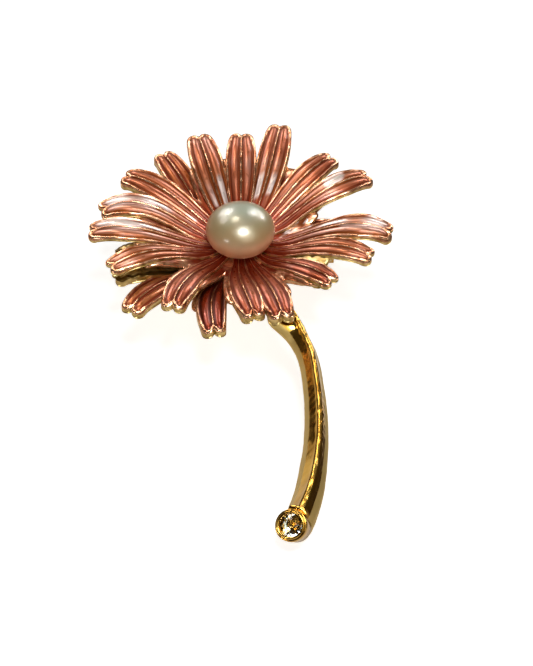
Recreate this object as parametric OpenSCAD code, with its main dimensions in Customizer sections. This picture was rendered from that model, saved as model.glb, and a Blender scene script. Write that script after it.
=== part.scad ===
// Flower brooch: a cast gold-tone flower in two tiers of enamelled, notched petals round a
// button pearl, on a curved ridged stem with a small clear stone in its end and a bar pin behind.
// It lies on its pin and the end of its stem, with the flower facing up. Millimetres, +Z up,
// +Y towards the top of the flower, origin on the surface under the middle of the brooch.

/* [Flower] */
// Height of the plane that the pearl stands on
flower_z = 6.2; // [6.1:0.1:6.6]
// Thickness of a petal at its edge
petal_wall = 1.1; // [1:0.1:1.3]
// How far the two lobes of a petal reach past its notch
lobe_reach = 0.8; // [0.5:0.05:0.9]
// Depth of the grooves that hold the enamel
groove_depth = 0.3; // [0.15:0.05:0.4]
// Radius of the hub of the upper tier
hub_r = 4.6; // [4.2:0.1:4.8]
// Radius of the round plate at the back of the lower tier
plate_r = 5.5; // [5.2:0.1:5.8]

/* [Pearl] */
// Width of the pearl
pearl_w = 8; // [7.6:0.1:8.4]
// Height of a whole pearl as a share of its width
pearl_flatness = 0.68; // [0.6:0.02:0.76]
// Height of the pearl's widest place above its flat back
pearl_waist_z = 1.9; // [1.6:0.1:2]

/* [Stem and stone] */
// Outer radius of the cup that holds the stone
cup_r = 1.62; // [1.55:0.01:1.7]
// Radius of the stone
stone_r = 1.24; // [1.15:0.01:1.26]
// Depth of the seat in the cup
cup_depth = 0.75; // [0.7:0.05:0.9]
// Lean of the stone's face from level
cup_lean = 38; // [34:1:42]

/* [Bar pin] */
// Length of the bar
bar_l = 22; // [20:0.5:24]
// Width of the bar
bar_w = 3; // [2.6:0.1:3.4]
// Thickness of the bar
bar_t = 0.8; // [0.6:0.1:1]
// Thickness of the pin wire
wire_d = 0.8; // [0.7:0.05:0.9]

/* [Hidden] */

// Clearance between pieces that are glued, set or soldered to each other
seat_gap = 0.04;
// The flower's centre, seen from the middle of the brooch
flower_x = -0.1;
flower_y = 12.1;

// Upper tier, a row for each petal, anticlockwise from the top one.
// Angles in degrees from +X, sizes in millimetres, heights above the pearl's plane.
ROOT_A = 0; // angle of the root
TIP_A = 1; // angle of the tip
BOW = 2; // extra angle at the middle of the petal
LENGTH = 3; // centre of the flower to the notch
WIDTH = 4; // at its widest
CREST = 5; // rise of the crest above the root
TIP_Z = 6; // rise of the tip above the root
UPPER_PETALS = [
    [90, 90, 0, 15.4, 3.7, 3.4, 2.8],
    [112, 108, 0, 16.2, 3.9, 3.3, 2.6],
    [143, 147, -1, 15.6, 3.9, 3.3, 2.6],
    [166, 169, -5, 15.9, 3.8, 3.5, 2.6],
    [188, 183.5, 0, 16.7, 3.9, 3.7, 2.9],
    [203, 205, 0, 15.7, 3.4, 3.5, 2.8],
    [228, 240, 0, 14.8, 3.6, 3.4, 2.8],
    [267, 276, 0, 14.3, 3.5, 3.3, 2.8],
    [291, 288, 0, 15.2, 3.6, 3.5, 2.8],
    [318, 319, 0, 13.3, 3.2, 3.3, 2.6],
    [340, 341.5, 0, 15.2, 3.4, 3.4, 2.7],
    [360, 356, 0, 16.8, 4.1, 3.8, 2.9],
    [30, 30, 0, 16.6, 4, 3.6, 2.8],
    [52, 48.5, 0, 15.6, 3.6, 3.4, 2.6],
    [69, 75, 0, 17.6, 3.7, 3.4, 2.8],
];
// Lower tier, anticlockwise from the one that shows at the upper left.
// Its heights are above the top of its own plate.
LOWER_PETALS = [
    [128, 124, 0, 16.3, 3.5, 3.3, 3],
    [155, 155, 0, 11, 3, 2, 1.8],
    [190, 190, 0, 13.8, 3.2, 2.4, 2],
    [205, 204, 0, 15, 3.2, 2.7, 2.4],
    [214, 223.5, 0, 16.6, 3.6, 2.8, 2.4],
    [244, 259, 0, 15.1, 3.5, 2.8, 2.4],
    [330, 330, 0, 10.5, 3, 1.6, 1.2],
    [14, 14, 0, 10.8, 3.2, 2, 1.8],
    [61, 61, 0, 12, 3, 2, 1.8],
];

// Where a petal starts, from the centre of the flower
upper_root_r = 3.7;
lower_root_r = 4.85;
// Stations along a petal, as shares of its length, closer at the tip
STATIONS = [0, 0.2, 0.4, 0.58, 0.73, 0.85, 0.94, 0.98, 1];
// Places across a petal, as shares of half its width: rim, groove, rib, groove, ridge and back
ACROSS = [-1, -0.75, -0.5, -0.22, 0, 0.22, 0.5, 0.75, 1];
// Height of the surface at each of them, as shares of the groove depth
RELIEF = [0, -1, -0.1, -0.9, 0, -0.9, -0.1, -1, 0];
// Which of those places the plain underside uses, going back across
BACK = [8, 6, 4, 2, 0];
petal_camber = 0.25; // how much lower the edges of a petal lie than its middle
crest_at = 0.8; // share of the length where the crest is
widest_at = 0.66; // share of the length where the petal is widest
root_share = 0.48; // width at the root as a share of the widest
tip_share = 0.8; // width at the notch as a share of the widest
rise_power = 1.4; // makes the rise start gently
grooves_end = 0.9; // share of the length where the grooves run out
lobe_power = 6; // keeps the reach of the lobes to the petal's end

// Heights of the castings' flat faces, from the pearl's plane
hub_top = -0.45;
seat_r = 3; // radius of the pearl's seat
seat_sunk = 0.4; // how far that seat's boss runs into the hub
hub_bottom = -1.5;
plate_top = hub_bottom - seat_gap;
plate_wall = petal_wall + petal_camber + 0.1; // thick enough to take in the petals' roots
plate_bottom = plate_top - plate_wall;
plate_z = flower_z + plate_bottom;

// Inner and outer ends of the webs between the roots of the petals, from the flower's centre
upper_web_r = 3.2;
upper_web_end = 6.6;
upper_web_z = hub_bottom + 0.15;
upper_web_end_z = 0.25;
lower_web_r = 4.4;
lower_web_end = 6.2;
lower_web_z = plate_bottom + 0.1;
lower_web_end_z = plate_bottom + 0.45;

// Width and height of a petal at a share of its length
function width_share(t) =
    t < widest_at ? root_share + (1 - root_share) * sin(90 * t / widest_at)
    : 1 - (1 - tip_share) * pow((t - widest_at) / (1 - widest_at), 2);
function rise(p, t) =
    t < crest_at ? p[CREST] * pow(sin(90 * t / crest_at), rise_power)
    : p[CREST] - (p[CREST] - p[TIP_Z]) * pow((t - crest_at) / (1 - crest_at), 2);

// Middle line of a petal in plan
function petal_angle(p, t) = p[ROOT_A] + (p[TIP_A] - p[ROOT_A]) * t + p[BOW] * 4 * t * (1 - t);
function polar(r, a) = [r * cos(a), r * sin(a)];
function along(p, root_r, t) = polar(root_r + (p[LENGTH] - root_r) * t, petal_angle(p, t));
// Its direction there
function heading(p, root_r, t) =
    let (d = along(p, root_r, t + 0.01) - along(p, root_r, t - 0.01)) d / norm(d);

// A round lobe on each side of the notch: 0 at the notch and the edge, 1 at the lobe's tip
function lobe(u) = sqrt(max(0, 1 - pow((abs(u) - 0.5) / 0.5, 2)));
function groove_share(t) = t < grooves_end ? 1 : (1 - t) / (1 - grooves_end);

function petal_point(p, root_r, t, k, below) =
    let (
        u = ACROSS[k],
        d = heading(p, root_r, t),
        c = along(p, root_r, t) + d * lobe_reach * lobe(u) * pow(t, lobe_power),
        side = u * width_share(t) * p[WIDTH] / 2,
        z = rise(p, t) - petal_camber * u * u + RELIEF[k] * groove_depth * groove_share(t)
    )
    [c[0] - d[1] * side, c[1] + d[0] * side,
     below ? rise(p, t) - petal_camber * u * u - petal_wall : z];

// One petal: a closed loft of rings, each ring over the top and back under the petal
module petal(p, root_r) {
    n = len(ACROSS);
    m = n + len(BACK);
    last = len(STATIONS) - 1;
    points = [
        for (t = STATIONS) for (j = [0:m - 1])
            j < n ? petal_point(p, root_r, t, j, false) : petal_point(p, root_r, t, BACK[j - n], true)
    ];
    skin = [
        for (i = [0:last - 1]) for (j = [0:m - 1])
            let (a = i * m + j, b = i * m + (j + 1) % m)
            each [[a, b, b + m], [a, b + m, a + m]]
    ];
    // Each end is a wall between the top and the underside: three triangles for each stretch
    // from one back point to the next
    root_end = [
        for (k = [0:len(BACK) - 2])
            let (a = 2 * k, b = m - 1 - k)
            each [[a, b, a + 1], [a + 1, b, b - 1], [a + 1, b - 1, a + 2]]
    ];
    tip_end = [for (f = root_end) [f[2], f[1], f[0]] + last * m * [1, 1, 1]];
    polyhedron(points = points, faces = concat(skin, root_end, tip_end));
}

// The thin web of metal that joins a petal's root to its neighbour's: broad and thick at the hub,
// narrow and thin at its outer end
web_l = 0.4;
web_inner_w = 1.8;
web_inner_h = 0.9;
web_outer_w = 0.6;
web_outer_h = 0.5;
module web(a, inner_r, outer_r, inner_z, outer_z) {
    rotate([0, 0, a])
        hull() {
            translate([inner_r, -web_inner_w / 2, inner_z])
                cube([web_l, web_inner_w, web_inner_h]);
            translate([outer_r, -web_outer_w / 2, outer_z])
                cube([web_l, web_outer_w, web_outer_h]);
        }
}

module place_flower() {
    translate([flower_x, flower_y, flower_z])
        children();
}

// Angle halfway between a petal's root and the next one's
function mid_angle(table, i) =
    let (a = table[i][ROOT_A], b = table[(i + 1) % len(table)][ROOT_A])
    a + ((b - a + 360) % 360) / 2;

module flower_upper() {
    color("lightcoral")
        place_flower() {
            for (p = UPPER_PETALS)
                petal(p, upper_root_r);
            for (i = [0:len(UPPER_PETALS) - 1])
                web(mid_angle(UPPER_PETALS, i), upper_web_r, upper_web_end, upper_web_z, upper_web_end_z);
            translate([0, 0, hub_bottom])
                cylinder(h = hub_top - hub_bottom, r = hub_r, $fn = 48);
            // The flat seat of the pearl
            translate([0, 0, hub_top - seat_sunk])
                cylinder(h = seat_sunk - hub_top, r = seat_r, $fn = 40);
        }
}

module flower_lower() {
    color("brown")
        place_flower() {
            for (p = LOWER_PETALS)
                translate([0, 0, plate_top])
                    petal(p, lower_root_r);
            for (p = LOWER_PETALS)
                web(p[ROOT_A], lower_web_r, lower_web_end, lower_web_z, lower_web_end_z);
            translate([0, 0, plate_bottom])
                cylinder(h = plate_wall, r = plate_r, $fn = 60);
        }
}

// Half outline of the pearl: the axis, the flat back and an ellipse up to the top
pearl_r = pearl_w / 2;
pearl_half_h = pearl_r * pearl_flatness;
pearl_steps = 22;
function pearl_outline() =
    let (low = asin(-pearl_waist_z / pearl_half_h))
    concat(
        [[0, -pearl_waist_z]],
        [for (i = [0:pearl_steps - 1])
            let (a = low + (90 - low) * i / pearl_steps) [pearl_r * cos(a), pearl_half_h * sin(a)]],
        [[0, pearl_half_h]]
    );

module pearl() {
    color("wheat")
        place_flower()
            translate([0, 0, pearl_waist_z + seat_gap])
                rotate_extrude($fn = 64)
                    polygon(pearl_outline());
}

// The stem, a row for each section from under the flower to the cup.
// Places are from the flower's centre in plan, heights from the surface the brooch lies on.
STEM_X = 0;
STEM_Y = 1;
STEM_W = 2;
STEM_TOP = 3;
STEM_BOTTOM = 4;
STEM = [
    [1.92, -4.45, 1.3, 5.25, 4.72],
    [2.6, -6, 1.5, 6.05, 4.95],
    [4.1, -9.3, 1.8, 7.3, 5.6],
    [5.3, -12.2, 2.1, 7.75, 5.7],
    [6.15, -14, 2.3, 7.55, 5.5],
    [6.8, -15.7, 2.3, 7.35, 5.2],
    [7.75, -18.5, 2.3, 7.05, 4.85],
    [8.3, -22.7, 2.35, 6.6, 4.35],
    [8.5, -26, 2.45, 6.1, 3.8],
    [8.45, -29.2, 2.6, 5.65, 3.2],
    [8.2, -31.8, 2.8, 5.3, 2.6],
    [7.8, -34.2, 3, 4.9, 1.95],
    [7.35, -36, 3.1, 4.6, 1.35],
    [6.7, -37.8, 3.15, 4.25, 0.8],
    [6.1, -39.2, 3.1, 3.85, 0.35],
    [5.7, -40.1, 2.9, 3, 0.2],
];
// Outline of a section, as shares of half its width and of its height: leaning sides, a broad
// slope on the left, a steeper one on the right and a rounded ridge between them
STEM_SECTION = [
    [-0.84, 0], [-1, 0.12], [-0.98, 0.26], [-0.64, 0.52], [0.06, 0.93], [0.26, 1],
    [0.42, 0.92], [0.78, 0.54], [0.98, 0.3], [1, 0.14], [0.84, 0],
];

// The rows are joined by a smooth curve, with steps_between sections from one row to the next
steps_between = 2;
function curve(a, b, c, d, t) =
    0.5 * (2 * b + (c - a) * t + (2 * a - 5 * b + 4 * c - d) * t * t
        + (3 * b - a - 3 * c + d) * t * t * t);
function stem_at(i) =
    let (k = floor(i / steps_between), last = len(STEM) - 1)
    curve(STEM[max(k - 1, 0)], STEM[k], STEM[min(k + 1, last)], STEM[min(k + 2, last)],
        i / steps_between - k);
stem_sections = [for (i = [0:(len(STEM) - 1) * steps_between]) stem_at(i)];

function stem_heading(i) =
    let (
        a = stem_sections[max(i - 1, 0)],
        b = stem_sections[min(i + 1, len(stem_sections) - 1)],
        d = [b[STEM_X] - a[STEM_X], b[STEM_Y] - a[STEM_Y]]
    )
    d / norm(d);
function stem_point(i, q) =
    let (s = stem_sections[i], d = stem_heading(i), side = q[0] * s[STEM_W] / 2)
    [s[STEM_X] - d[1] * side, s[STEM_Y] + d[0] * side,
     s[STEM_BOTTOM] + q[1] * (s[STEM_TOP] - s[STEM_BOTTOM])];

module stem_bar() {
    m = len(STEM_SECTION);
    last = len(stem_sections) - 1;
    points = [for (i = [0:last]) for (q = STEM_SECTION) stem_point(i, q)];
    skin = [
        for (i = [0:last - 1]) for (j = [0:m - 1])
            let (a = i * m + j, b = i * m + (j + 1) % m)
            each [[a, b, b + m], [a, b + m, a + m]]
    ];
    near_end = [[for (j = [m - 1:-1:0]) j]];
    far_end = [[for (j = [0:m - 1]) last * m + j]];
    polyhedron(points = points, faces = concat(skin, near_end, far_end));
}

// Middle of the cup's face, from the flower's centre in plan, and the way it leans
cup_x = 5.6;
cup_y = -40.6;
cup_z = 3;
cup_turn = 241;
cup_body = 2.45; // how far the cup runs back into the stem
bezel_rise = 0.3; // how far its rim stands out
bore_over = 1; // how far the cut for the stone runs out past the rim

module place_cup() {
    translate([cup_x, cup_y, cup_z])
        rotate([0, cup_lean, cup_turn])
            children();
}

module stem() {
    color("goldenrod")
        translate([flower_x, flower_y, 0])
            difference() {
                union() {
                    stem_bar();
                    place_cup()
                        translate([0, 0, -cup_body])
                            cylinder(h = cup_body + bezel_rise, r = cup_r, $fn = 48);
                }
                place_cup()
                    translate([0, 0, bezel_rise - cup_depth])
                        cylinder(h = cup_depth + bore_over, r = stone_r + seat_gap, $fn = 48);
            }
}

// A round cut stone with a flat back: a narrow girdle, a crown of main and star facets, a table
facets = 8; // sides of the table, half as many as the girdle has
girdle_h = 0.25;
crown_r = 0.98; // middle ring of the crown
crown_h = 0.5;
table_r = 0.62;
table_h = 0.7;

module stone() {
    color("whitesmoke")
        translate([flower_x, flower_y, 0])
            place_cup()
                translate([0, 0, bezel_rise - cup_depth + seat_gap])
                    hull() {
                        cylinder(h = girdle_h, r = stone_r, $fn = 2 * facets);
                        rotate([0, 0, 180 / facets])
                            cylinder(h = crown_h, r = crown_r, $fn = facets);
                        cylinder(h = table_h, r = table_r, $fn = facets);
                    }
}

// The bar pin: a bar, a barrel that holds the wire at one end and a hooked catch at the other
bar_y = 4; // above the flower's centre, so that the brooch hangs upright
foot_l = 2.4; // length of the barrel's block and of the catch
foot_w = 2.6;
foot_round = 0.5; // radius of their rounded edges
foot_neck = 0.4; // height of their square part under the bar
foot_joint = 0.2; // how far they run into the bar
wire_z = 1.5; // height of the pin wire's axis

// A block under the bar with its two lower edges rounded
module pin_foot(x) {
    translate([x - foot_l / 2, 0, 0])
        rotate([90, 0, 90])
            linear_extrude(foot_l)
                hull() {
                    translate([-foot_w / 2, plate_z - bar_t - foot_neck])
                        square([foot_w, foot_neck + foot_joint]);
                    for (side = [-1, 1])
                        translate([side * (foot_w / 2 - foot_round), foot_round])
                            circle(foot_round, $fn = 32);
                }
}

module pin_back() {
    foot_x = bar_l / 2 - foot_l / 2;
    color("gold")
        translate([flower_x, flower_y + bar_y, 0]) {
            translate([-bar_l / 2, -bar_w / 2, plate_z - seat_gap - bar_t])
                cube([bar_l, bar_w, bar_t]);
            for (side = [-1, 1])
                pin_foot(side * foot_x);
            translate([-foot_x, 0, wire_z])
                rotate([0, 90, 0])
                    cylinder(h = 2 * foot_x, d = wire_d, $fn = 24);
        }
}

flower_upper();
flower_lower();
pearl();
stem();
stone();
pin_back();
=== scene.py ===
"""Looks of the flower brooch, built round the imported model. Sizes in millimetres, made metres at the end."""
import math
from collections import namedtuple
from functools import partialmethod

import bpy
import numpy as np
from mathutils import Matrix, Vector


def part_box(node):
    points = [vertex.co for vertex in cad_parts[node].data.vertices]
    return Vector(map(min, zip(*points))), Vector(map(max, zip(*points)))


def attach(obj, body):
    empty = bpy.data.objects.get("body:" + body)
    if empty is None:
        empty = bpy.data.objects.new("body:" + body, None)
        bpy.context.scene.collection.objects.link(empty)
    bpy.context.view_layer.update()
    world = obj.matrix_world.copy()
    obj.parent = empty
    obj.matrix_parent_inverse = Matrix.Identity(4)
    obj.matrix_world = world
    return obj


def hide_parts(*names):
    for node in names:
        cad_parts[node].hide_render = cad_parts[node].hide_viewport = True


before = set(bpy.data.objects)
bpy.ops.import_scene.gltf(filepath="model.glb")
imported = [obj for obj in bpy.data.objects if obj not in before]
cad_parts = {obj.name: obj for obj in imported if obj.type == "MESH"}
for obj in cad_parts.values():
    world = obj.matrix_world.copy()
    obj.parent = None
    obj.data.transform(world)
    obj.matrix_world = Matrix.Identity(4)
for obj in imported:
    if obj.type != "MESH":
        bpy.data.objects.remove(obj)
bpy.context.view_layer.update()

MM = 0.001
# Gap that the solids leave where the real pieces are soldered or glued
SEAT_GAP = 0.04

# The flower's centre is under the middle of the pearl, on the plane that the pearl stands on
pearl_low, pearl_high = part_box("pearl")
FLOWER = np.array([
    (pearl_low[0] + pearl_high[0]) / 2 / MM,
    (pearl_low[1] + pearl_high[1]) / 2 / MM,
    pearl_low[2] / MM - SEAT_GAP,
])
# The same place on the surface that the brooch lies on
UNDER_FLOWER = FLOWER * [1, 1, 0]


def new_object(name, data):
    made = bpy.data.objects.new(name, data)
    bpy.context.scene.collection.objects.link(made)
    return made


# The photograph's camera: 45 degrees above the surface, about 0.3 m from the flower
FOCAL_PX = 2580
FRAME_H_PX = 666
SENSOR = 36
CAMERA_AT = FLOWER + np.array([3.02, -219.61, 204.65])
CAMERA_TILT = 45

camera_data = bpy.data.cameras.new("camera")
camera_data.sensor_width = SENSOR
camera_data.lens = FOCAL_PX * SENSOR / FRAME_H_PX
camera_data.clip_start = 0.01
camera = new_object("camera", camera_data)
camera.location = CAMERA_AT * MM
camera.rotation_euler = (math.radians(CAMERA_TILT), 0, 0)
bpy.context.scene.camera = camera


# Meshes

# What each point of a petal or web tells its material: depth in the grooves, how bare the metal is, share of
# the way to the tip, and redness. Stem and pearl use the same four numbers as their own materials say.
DEPTH, BARE, RED = 0, 1, 3
NO_FACTS = (0, 0, 0, 0)
BARE_METAL = (0, 1, 0, 0)
# Redness of metal without enamel, and of the palest enamel, which partly stands for a painted sheen
PLAIN_METAL = -1
PALEST_AND_SHEEN = -0.25


class Pile:
    """Points, faces and facts gathered for one mesh."""

    def __init__(self):
        self.points, self.faces, self.facts = [], [], []

    def add(self, points, faces, facts=NO_FACTS):
        start = sum(len(p) for p in self.points)
        self.points.append(np.asarray(points, float))
        self.faces.extend([tuple(int(i) + start for i in face) for face in faces])
        self.facts.append(np.ones((len(points), 1)) * facts)

    def build(self, name, material, smooth=True):
        mesh = bpy.data.meshes.new(name)
        points = np.concatenate(self.points) * MM
        mesh.from_pydata(points.tolist(), [], self.faces)
        facts = mesh.attributes.new("facts", "FLOAT_COLOR", "POINT")
        facts.data.foreach_set("color", np.concatenate(self.facts).astype(np.float32).ravel())
        mesh.polygons.foreach_set("use_smooth", [smooth] * len(mesh.polygons))
        mesh.materials.append(material)
        mesh.update()
        piece = new_object(name, mesh)
        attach(piece, "root")
        return piece


def grid_faces(rows, columns, start=0, wrap=False, flip=False):
    """Quads between neighbouring rows of points."""
    faces = []
    for i in range(rows - 1):
        for j in range(columns if wrap else columns - 1):
            a, b = start + i * columns + j, start + i * columns + (j + 1) % columns
            quad = (a, b, b + columns, a + columns)
            faces.append(quad[::-1] if flip else quad)
    return faces


def revolve(pile, profile, at, facts=NO_FACTS, segments=96, turn=np.eye(3)):
    """A closed shell of revolution. The profile runs from its top on the axis to its bottom on the axis."""
    angles = np.linspace(0, 2 * np.pi, segments, endpoint=False)
    rings = profile[1:-1]
    points = [(0, 0, profile[0][1])]
    points += [(r * math.cos(a), r * math.sin(a), z) for r, z in rings for a in angles]
    points.append((0, 0, profile[-1][1]))
    last = len(points) - 1
    last_ring = last - segments
    faces = [(0, 1 + j, 1 + (j + 1) % segments) for j in range(segments)]
    faces += grid_faces(len(rings), segments, start=1, wrap=True, flip=True)
    faces += [(last, last_ring + (j + 1) % segments, last_ring + j) for j in range(segments)]
    pile.add(np.array(points) @ turn.T + at, faces, facts)


DISC_ROUND = 0.12


def disc(pile, radius, low, high):
    """A round plate of bare metal with softened edges."""
    middle = radius - DISC_ROUND
    profile = [(0, high), (middle, high)]
    profile += [
        (middle + DISC_ROUND * math.sin(a), high - DISC_ROUND + DISC_ROUND * math.cos(a))
        for a in np.linspace(0, math.pi / 2, 5)[1:]
    ]
    profile += [(radius, low + DISC_ROUND), (middle, low), (0, low)]
    revolve(pile, profile, FLOWER, BARE_METAL)


def smoothstep(low, high, x):
    t = np.clip((x - low) / (high - low), 0, 1)
    return t * t * (3 - 2 * t)


def quarter_round(x):
    """Rises like a quarter circle from 0 at x = 0 to 1 at x = 1."""
    return np.sqrt(np.clip(1 - (1 - np.clip(x, 0, 1)) ** 2, 0, None))


WAVES = 7


def waves(points, scale, seed):
    """Smooth, repeatable unevenness between about -1 and 1, from a few crossed sine waves."""
    rng = np.random.RandomState(seed)
    total = np.zeros(len(points))
    for _ in range(WAVES):
        direction = rng.normal(size=3)
        direction /= np.linalg.norm(direction)
        total += np.sin(points @ direction * scale * rng.uniform(0.6, 1.5) + rng.uniform(0, 6.28))
    return total / (WAVES / 2)


def ripples(points, kinds):
    """Unevenness of several kinds together: height, fineness and seed of each."""
    return sum(height * waves(points, scale, seed) for height, scale, seed in kinds)


def pebbles(points, kinds, seed):
    """Bumps and hollows, cut off at 1 and -1: share and fineness of each kind."""
    kinds = [(share, scale, seed + n) for n, (share, scale) in enumerate(kinds)]
    return np.clip(ripples(points, kinds), -1, 1)


# Petals

# A petal: angles of root and tip in degrees from +X, extra angle at the middle, length to the notch, width,
# rise of the crest and of the tip, thickness of the wall, how much it narrows towards the root, redness,
# how pale it is on one side, partly paler enamel and partly a painted sheen, which side is the left one
# seen from the root where the number is positive, and how much painted sheen it has near the pearl
Petal = namedtuple("Petal", "root_a tip_a bow length width crest tip wall waisted red pale near")

# Anticlockwise from the top petal
UPPER_PETALS = [Petal(*row) for row in (
    (90, 90, 0, 15.4, 3.7, 3.05, 2.8, 1.1, 0, 0.5, 0, 0),
    (112, 108, 0, 16.2, 3.9, 2.9, 2.6, 1.1, 0, 0.4, 0, 0.95),
    (143, 147, -1, 15.6, 3.9, 3, 2.65, 1, 0.3, 0.4, -0.2, 0.85),
    (166, 169, -5, 15.9, 3.8, 3.3, 2.6, 0.85, 0.6, 0, -1, 0.3),
    (188, 183.5, 0, 16.7, 3.9, 3.6, 2.9, 0.75, 0.6, 0, -1, 0.2),
    (203, 205, 0, 15.7, 3.4, 3.3, 2.8, 0.8, 0.8, 0.1, -0.5, 0.1),
    (228, 240, 0, 14.8, 3.6, 3.1, 2.8, 1.1, 0.4, 0.8, 0, 0),
    (267, 276, 0, 14.3, 3.5, 3.1, 2.8, 1.3, 0.2, 0.9, 0, 0),
    (291, 288, 0, 15.2, 3.6, 3.1, 2.8, 1.3, 0.3, 1, 0, 0),
    (318, 319, 0, 13.3, 3.2, 2.9, 2.6, 0.85, 0.5, 0.9, 0, 0),
    (340, 341.5, 0, 15.2, 3.4, 3.3, 2.7, 0.85, 0.6, 0.3, 0.3, 0.2),
    (359, 356, 0, 16.8, 4.1, 3.8, 2.9, 0.85, 1, 0, 1, 0.3),
    (31, 30, 0, 16.6, 4, 3.4, 2.8, 0.75, 1, 0.7, 1, 0),
    (52, 48.5, 0, 15.6, 3.6, 2.95, 2.6, 0.8, 0.5, 0.7, 0.6, 0.5),
    (69, 75, 0, 17.6, 3.7, 3.05, 2.8, 1.1, 0, 0.5, 0, 0.95),
)]
LOWER_PETALS = [Petal(*row) for row in (
    (128, 124, 0, 16.3, 3.5, 3.25, 3, 1.1, 0, 0.3, 0, 0),
    (155, 155, 0, 11, 3, 2, 1.8, 1.1, 0, 0.8, 0, 0),
    (190, 190, 0, 13.8, 3.2, 2.4, 2, 1.1, 0, PLAIN_METAL, 0, 0),
    (205, 204, 0, 15, 3.2, 2.7, 2.4, 1.1, 0, PLAIN_METAL, 0, 0),
    (214, 223.5, 0, 16.6, 3.6, 2.7, 2.4, 1.1, 0.2, 0, 0, 0),
    (244, 259, 0, 15.1, 3.5, 2.7, 2.4, 1.2, 0, 1, 0, 0),
    (330, 330, 0, 10.5, 3, 1.6, 1.2, 1.1, 0, PLAIN_METAL, 0, 0),
    (14, 14, 0, 10.8, 3.2, 2, 1.8, 1.1, 0, 0.5, 0, 0),
    (61, 61, 0, 12, 3, 2, 1.8, 1.1, 0, 0.9, 0, 0),
)]
UPPER_ROOT_R = 3.7
LOWER_ROOT_R = 4.85
HUB_TOP, HUB_BOTTOM, HUB_R = -0.45, -1.5, 4.6
PLATE_TOP = HUB_BOTTOM - SEAT_GAP
PETAL_WALL = 1.1
CAMBER = 0.25
PLATE_WALL = PETAL_WALL + CAMBER + 0.1
PLATE_R = 5.5
LOBE_REACH = 0.8
LOBE_POWER = 6
# Where a petal is highest, as a share of its length: further out on one whose tip hardly turns down
CREST_AT, LATE_CREST_AT, LATE_BELOW = 0.8, 0.9, 0.4
WIDEST_AT = 0.66
ROOT_SHARE, TIP_SHARE, WAIST_SHARE = 0.48, 0.8, 0.56
WAIST_FROM, WAIST_TO = 0.25, 0.85
RISE_POWER = 1.4

# Relief of a petal of this half width: gold rims and a gold middle ridge, enamel floor, rounded ribs
FULL_HALF_W = 1.85
RIM_W, TIP_RIM_W = 0.33, 0.48
# The rims widen between these shares of the length
TIP_ZONE = (0.86, 0.97)
RIDGE_HALF_W = 0.125
RIDGE_RISE = 1.3
# How steeply rims and ridge fall to the floor
BEAD_FALL = 2.5
FLOOR = -0.24
RIB_FROM_RIM = 0.56
RIB_FROM_RIDGE = 0.32
RIB_ROUND = 0.55
RIB_TOP = -0.05
BARE_FROM, BARE_TO = -0.1, -0.03
BARE_EDGE = 0.02
NOTCH_FILL = 0.4
BACK_ROUND = 0.35

# Height and fineness of a petal's unevenness and of the beading along its rims and ridge
UNEVEN, UNEVEN_SCALE = 0.02, 2.2
BEADING, BEADING_SCALE = 0.035, 5
# Pebbled metal, and the petals of plain metal: how far they keep the relief, and how much rougher they are
PEBBLE = 0.07
PLAIN_RELIEF, PLAIN_PEBBLE = 0.25, 1.6
PLAIN_PEBBLES = [(1, 3.6), (0.5, 8)]
# Added to a petal's seed
BEADING_SEED, PEBBLE_SEED, PALE_SEED = 100, 200, 300

# Pale enamel and painted sheen: across a petal from its darker edge, along it from where it begins
# to where it ends, and the painted sheen near the pearl in the same way
PALE_ACROSS = (-0.85, 0.25)
PALE_BEGINS, PALE_ENDS = (0.3, 0.5), (1.02, 0.9)
NEAR_BEGINS, NEAR_ENDS = (0.08, 0.22), (0.75, 0.4)
PALE_LEAST, PALE_SPREAD, PALE_SCALE = 0.8, 0.5, 1.3

# Heights of the rings of points down a petal's wall, as shares of the way from its rim to its back
WALL_SHARES = [0.06, 0.5]

# Where a petal and its outline begin, under the hub, as shares of its length
ROOT_T, OUTLINE_FROM = -0.1, -0.2
ROWS = 58
# Rows are closer together towards the tip
ROW_CROWDING = 1.5
HALF_COLUMNS = 18
SIDE_STEPS, LOBE_STEPS = 60, 25
TANGENT_STEP = 0.01


def width_share(t, waisted):
    """Share of the full width along a petal. A waisted one stays narrow further out."""
    rising = ROOT_SHARE + (1 - ROOT_SHARE) * np.sin(np.radians(90 * np.clip(t, 0, 1) / WIDEST_AT))
    falling = 1 - (1 - TIP_SHARE) * ((t - WIDEST_AT) / (1 - WIDEST_AT)) ** 2
    plain = np.where(t < WIDEST_AT, rising, falling)
    paddle = np.minimum(WAIST_SHARE + (1 - WAIST_SHARE) * smoothstep(WAIST_FROM, WAIST_TO, t), falling)
    return plain + (np.minimum(paddle, plain) - plain) * waisted


def rise(t, crest, tip):
    at = CREST_AT if crest - tip > LATE_BELOW else LATE_CREST_AT
    up = crest * np.sin(np.radians(90 * np.clip(t, 0, at) / at)) ** RISE_POWER
    over = crest - (crest - tip) * ((t - at) / (1 - at)) ** 2
    return np.where(t < at, up, over)


def lobe(u):
    """Two rounded lobes at a petal's end, with a softened notch between them."""
    off = np.abs(u)
    return np.sqrt(np.clip(4 * off * (1 - off) + (NOTCH_FILL * (1 - off)) ** 2, 0, None))


def distance_to_line(points, line):
    """Shortest distance in plan from each point to a line of short straight pieces."""
    a, b = line[:-1], line[1:]
    ab = b - a
    t = np.einsum("pij,ij->pi", points[:, None] - a, ab) / np.maximum((ab ** 2).sum(1), 1e-12)
    nearest = a + np.clip(t, 0, 1)[..., None] * ab
    return np.sqrt(((points[:, None] - nearest) ** 2).sum(2)).min(1)


def middle_line(row, root_r, t):
    """Plan of the middle of a petal, at shares t of the way from its root to its notch."""
    angle = np.radians(row.root_a + (row.tip_a - row.root_a) * t + row.bow * 4 * t * (1 - t))
    r = root_r + (row.length - root_r) * t
    return np.stack([r * np.cos(angle), r * np.sin(angle)], -1)


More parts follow.
